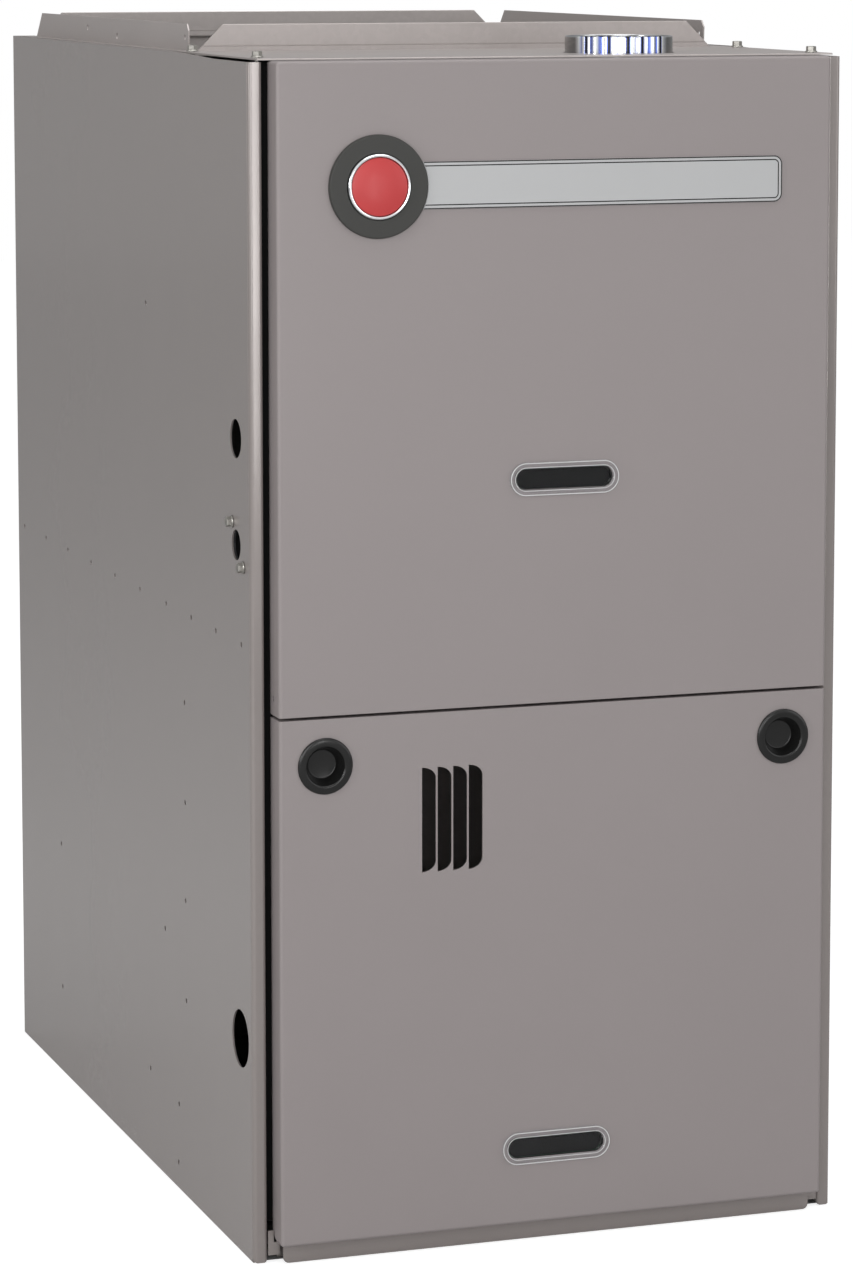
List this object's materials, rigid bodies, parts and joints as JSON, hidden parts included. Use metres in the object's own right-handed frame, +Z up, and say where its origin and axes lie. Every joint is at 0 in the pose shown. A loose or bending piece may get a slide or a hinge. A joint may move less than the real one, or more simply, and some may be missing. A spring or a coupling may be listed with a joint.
{
  "type": "forced air gas furnace",
  "caption": "Upflow gas furnace: tall steel casing, two lift-off doors with sight windows and finger cups, top vent collar, duct flanges, burners, inducer and blower inside.",
  "frame": {"origin": "on the floor at the middle of the overall box", "axes": "+Z up, the doors face -Y, +X to the right seen from the doors"},
  "size_m": [0.4537, 0.723, 0.8795],
  "materials": {
    "casing_paint": "satin warm grey paint",
    "door_paint": "satin warm grey paint",
    "galvanised": "galvanised sheet",
    "bright_steel": "bright steel",
    "aluminised": "aluminised steel",
    "zinc": "zinc plated steel",
    "cast_aluminium": "die cast, matt",
    "dark_paint": "semi-gloss black paint",
    "black_plastic": "moulded",
    "ring_grey": "satin dark grey",
    "red_enamel": "gloss red",
    "silver_label": "satin silver",
    "clear_lens": "clear lens",
    "rubber": "matt",
    "circuit_board": "solder mask",
    "ceramic": "unglazed",
    "red_button": "moulded"
  },
  "bodies": {
    "furnace": {"left_side_panel": "casing_paint", "right_side_panel": "casing_paint", "back_panel": "galvanised", "top_plate": "galvanised", "blower_deck": "galvanised", "vestibule_panel": "aluminised", "base_front_rail": "casing_paint", "base_rear_rail": "galvanised", "heat_tube_1": "aluminised", "heat_tube_2": "aluminised", "heat_tube_3": "aluminised", "collector_box": "aluminised", "inducer_housing": "dark_paint", "inducer_motor": "dark_paint", "vent_connector": "galvanised", "vent_collar": "bright_steel", "burner_box": "aluminised", "burner_1": "aluminised", "burner_2": "aluminised", "burner_3": "aluminised", "gas_manifold": "dark_paint", "gas_valve": "cast_aluminium", "igniter": "ceramic", "flame_sensor": "ceramic", "rollout_switch_left": "black_plastic", "rollout_switch_right": "black_plastic", "limit_switch": "black_plastic", "pressure_switch": "zinc", "pressure_hose": "rubber", "junction_box": "dark_paint", "blower_housing": "galvanised", "blower_motor": "dark_paint", "motor_mount": "zinc", "control_panel": "galvanised", "control_board": "circuit_board", "transformer": "dark_paint", "run_capacitor": "zinc", "door_switch": "black_plastic", "side_screw_rear": "zinc", "side_screw_front": "zinc", "top_screw_front_left": "zinc", "top_screw_mid_left": "zinc", "top_screw_mid_right": "zinc", "top_screw_front_right": "zinc"},
    "upper_door": {"upper_door": "door_paint", "upper_sight_window": "clear_lens", "emblem_ring": "ring_grey", "emblem_rim": "bright_steel", "emblem_disc": "red_enamel", "nameplate": "silver_label"},
    "lower_door": {"lower_door": "door_paint", "lower_sight_window": "clear_lens", "left_finger_cup": "black_plastic", "right_finger_cup": "black_plastic"},
    "blower_wheel": {"blower_wheel": "zinc"},
    "inducer_wheel": {"inducer_wheel": "aluminised"},
    "gas_valve_knob": {"gas_valve_knob": "black_plastic"},
    "rollout_reset_left": {"rollout_reset_left": "red_button"},
    "rollout_reset_right": {"rollout_reset_right": "red_button"},
    "door_switch_plunger": {"door_switch_plunger": "red_button"}
  },
  "joints": [
    {"name": "upper_door_slide", "type": "slide", "parent": "furnace", "child": "upper_door", "axis": [0, -1, 0], "range_m": [0, 0.3]},
    {"name": "lower_door_slide", "type": "slide", "parent": "furnace", "child": "lower_door", "axis": [0, -1, 0], "range_m": [0, 0.3]},
    {"name": "blower_wheel_spin", "type": "hinge", "parent": "furnace", "child": "blower_wheel", "pos_m": [0, 0.13, 0.222], "axis": [1, 0, 0], "continuous": true},
    {"name": "inducer_wheel_spin", "type": "hinge", "parent": "furnace", "child": "inducer_wheel", "pos_m": [0.033, -0.254, 0.712], "axis": [0, 1, 0], "continuous": true},
    {"name": "gas_valve_knob_turn", "type": "hinge", "parent": "furnace", "child": "gas_valve_knob", "pos_m": [-0.149, -0.335, 0.512], "axis": [0, -1, 0], "range_deg": [0, 90]},
    {"name": "rollout_reset_left_press", "type": "slide", "parent": "furnace", "child": "rollout_reset_left", "axis": [0, 1, 0], "range_m": [0, 0.0022], "stiffness_N_per_m": 900},
    {"name": "rollout_reset_right_press", "type": "slide", "parent": "furnace", "child": "rollout_reset_right", "axis": [0, 1, 0], "range_m": [0, 0.0022], "stiffness_N_per_m": 900},
    {"name": "door_switch_travel", "type": "slide", "parent": "furnace", "child": "door_switch_plunger", "axis": [0, -1, 0], "range_m": [0, 0.005]}
  ],
  "couplings": [
    {"joint": "door_switch_travel", "follows": "lower_door_slide", "ratio": 0.016667}
  ]
}
